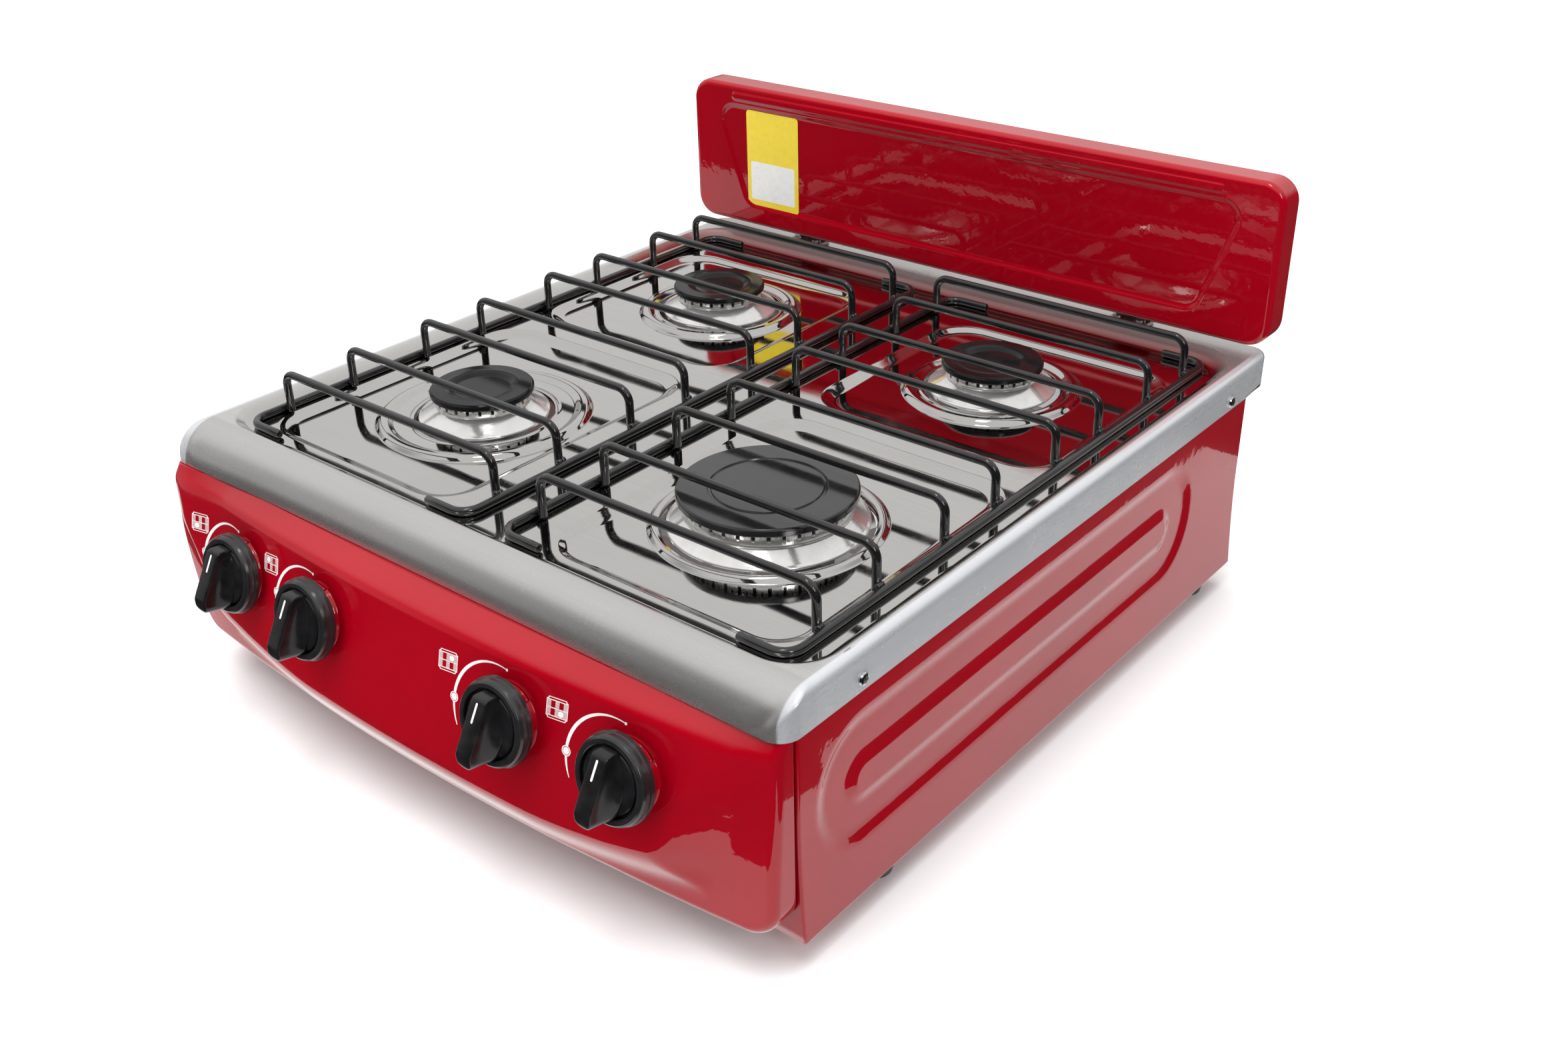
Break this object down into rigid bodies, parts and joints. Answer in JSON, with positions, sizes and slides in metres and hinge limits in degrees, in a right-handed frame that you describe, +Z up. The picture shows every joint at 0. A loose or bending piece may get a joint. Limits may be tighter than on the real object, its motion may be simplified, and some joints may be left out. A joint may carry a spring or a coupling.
{
  "type": "gas stove",
  "caption": "Table-top gas stove with a pressed steel cooktop, two wire grates, capped burners and push-and-turn knobs.",
  "frame": {"origin": "middle of the stove's footprint, on the surface that the feet stand on", "axes": "+Z up, +X to the right when facing the knobs, -Y towards the knobs"},
  "size_m": [0.5208, 0.604, 0.299],
  "materials": {
    "stainless": "pressed stainless sheet, bright",
    "red_enamel": "glossy vitreous enamel",
    "black_enamel": "glossy black enamel",
    "cast_aluminium": "machined bright aluminium",
    "pressed_aluminium": "satin",
    "galvanised": "galvanised sheet",
    "pipe_steel": "drawn steel tube",
    "tap_metal": "die-cast, matt",
    "brass": "turned brass",
    "zinc": "zinc-plated steel",
    "black_plastic": "moulded phenolic plastic",
    "rubber": "moulded rubber"
  },
  "bodies": {
    "casing": {"cooktop": "stainless", "side_panel_left": "red_enamel", "side_panel_right": "red_enamel", "control_panel": "red_enamel", "rear_panel": "galvanised", "burner_rail_front": "galvanised", "burner_rail_rear": "galvanised", "backsplash": "red_enamel", "backsplash_brackets": "galvanised", "backsplash_screws": "zinc", "mixing_tube_front_left": "pressed_aluminium", "mixing_tube_rear_left": "pressed_aluminium", "mixing_tube_rear_right": "pressed_aluminium", "mixing_tube_front_right": "pressed_aluminium", "burner_screws": "zinc", "injectors": "brass", "gas_manifold": "pipe_steel", "gas_inlet_nozzle": "brass", "manifold_brackets": "galvanised", "tap_body_front_left": "tap_metal", "tap_body_rear_left": "tap_metal", "tap_body_rear_right": "tap_metal", "tap_body_front_right": "tap_metal", "tap_covers": "zinc", "tap_springs": "zinc", "feet": "rubber", "foot_screws": "zinc", "cooktop_screws": "zinc", "casing_screws": "zinc", "rail_screws": "zinc"},
    "grate_left": {"grate_left": "black_enamel"},
    "grate_right": {"grate_right": "black_enamel"},
    "burner_head_front_left": {"burner_head_front_left": "cast_aluminium"},
    "burner_cap_front_left": {"burner_cap_front_left": "black_enamel"},
    "burner_head_rear_left": {"burner_head_rear_left": "cast_aluminium"},
    "burner_cap_rear_left": {"burner_cap_rear_left": "black_enamel"},
    "burner_head_rear_right": {"burner_head_rear_right": "cast_aluminium"},
    "burner_cap_rear_right": {"burner_cap_rear_right": "black_enamel"},
    "burner_head_front_right": {"burner_head_front_right": "cast_aluminium"},
    "burner_cap_front_right": {"burner_cap_front_right": "black_enamel"},
    "tap_plug_front_left": {"tap_plug_front_left": "brass"},
    "knob_front_left": {"knob_front_left": "black_plastic", "tap_stem_front_left": "zinc"},
    "tap_plug_rear_left": {"tap_plug_rear_left": "brass"},
    "knob_rear_left": {"knob_rear_left": "black_plastic", "tap_stem_rear_left": "zinc"},
    "tap_plug_rear_right": {"tap_plug_rear_right": "brass"},
    "knob_rear_right": {"knob_rear_right": "black_plastic", "tap_stem_rear_right": "zinc"},
    "tap_plug_front_right": {"tap_plug_front_right": "brass"},
    "knob_front_right": {"knob_front_right": "black_plastic", "tap_stem_front_right": "zinc"}
  },
  "joints": [
    {"name": "grate_left_lift", "type": "slide", "parent": "casing", "child": "grate_left", "axis": [0, 0, 1], "range_m": [0, 0.08]},
    {"name": "grate_right_lift", "type": "slide", "parent": "casing", "child": "grate_right", "axis": [0, 0, 1], "range_m": [0, 0.08]},
    {"name": "burner_head_front_left_lift", "type": "slide", "parent": "casing", "child": "burner_head_front_left", "axis": [0, 0, 1], "range_m": [0, 0.003]},
    {"name": "burner_cap_front_left_lift", "type": "slide", "parent": "burner_head_front_left", "child": "burner_cap_front_left", "axis": [0, 0, 1], "range_m": [0, 0.0045]},
    {"name": "burner_head_rear_left_lift", "type": "slide", "parent": "casing", "child": "burner_head_rear_left", "axis": [0, 0, 1], "range_m": [0, 0.003]},
    {"name": "burner_cap_rear_left_lift", "type": "slide", "parent": "burner_head_rear_left", "child": "burner_cap_rear_left", "axis": [0, 0, 1], "range_m": [0, 0.0045]},
    {"name": "burner_head_rear_right_lift", "type": "slide", "parent": "casing", "child": "burner_head_rear_right", "axis": [0, 0, 1], "range_m": [0, 0.003]},
    {"name": "burner_cap_rear_right_lift", "type": "slide", "parent": "burner_head_rear_right", "child": "burner_cap_rear_right", "axis": [0, 0, 1], "range_m": [0, 0.0045]},
    {"name": "burner_head_front_right_lift", "type": "slide", "parent": "casing", "child": "burner_head_front_right", "axis": [0, 0, 1], "range_m": [0, 0.002]},
    {"name": "burner_cap_front_right_lift", "type": "slide", "parent": "burner_head_front_right", "child": "burner_cap_front_right", "axis": [0, 0, 1], "range_m": [0, 0.003]},
    {"name": "knob_front_left_turn", "type": "hinge", "parent": "casing", "child": "tap_plug_front_left", "pos_m": [-0.1675, -0.26691, 0.1085], "axis": [0, -0.9744, 0.225], "range_deg": [0, 180]},
    {"name": "knob_front_left_push", "type": "slide", "parent": "tap_plug_front_left", "child": "knob_front_left", "axis": [0, 0.9744, -0.225], "range_m": [0, 0.0025], "stiffness_N_per_m": 1200, "springref_m": -0.002},
    {"name": "knob_rear_left_turn", "type": "hinge", "parent": "casing", "child": "tap_plug_rear_left", "pos_m": [-0.084, -0.26691, 0.1085], "axis": [0, -0.9744, 0.225], "range_deg": [0, 180]},
    {"name": "knob_rear_left_push", "type": "slide", "parent": "tap_plug_rear_left", "child": "knob_rear_left", "axis": [0, 0.9744, -0.225], "range_m": [0, 0.0025], "stiffness_N_per_m": 1200, "springref_m": -0.002},
    {"name": "knob_rear_right_turn", "type": "hinge", "parent": "casing", "child": "tap_plug_rear_right", "pos_m": [0.084, -0.26691, 0.1085], "axis": [0, -0.9744, 0.225], "range_deg": [0, 180]},
    {"name": "knob_rear_right_push", "type": "slide", "parent": "tap_plug_rear_right", "child": "knob_rear_right", "axis": [0, 0.9744, -0.225], "range_m": [0, 0.0025], "stiffness_N_per_m": 1200, "springref_m": -0.002},
    {"name": "knob_front_right_turn", "type": "hinge", "parent": "casing", "child": "tap_plug_front_right", "pos_m": [0.1675, -0.26691, 0.1085], "axis": [0, -0.9744, 0.225], "range_deg": [0, 180]},
    {"name": "knob_front_right_push", "type": "slide", "parent": "tap_plug_front_right", "child": "knob_front_right", "axis": [0, 0.9744, -0.225], "range_m": [0, 0.0025], "stiffness_N_per_m": 1200, "springref_m": -0.002}
  ]
}
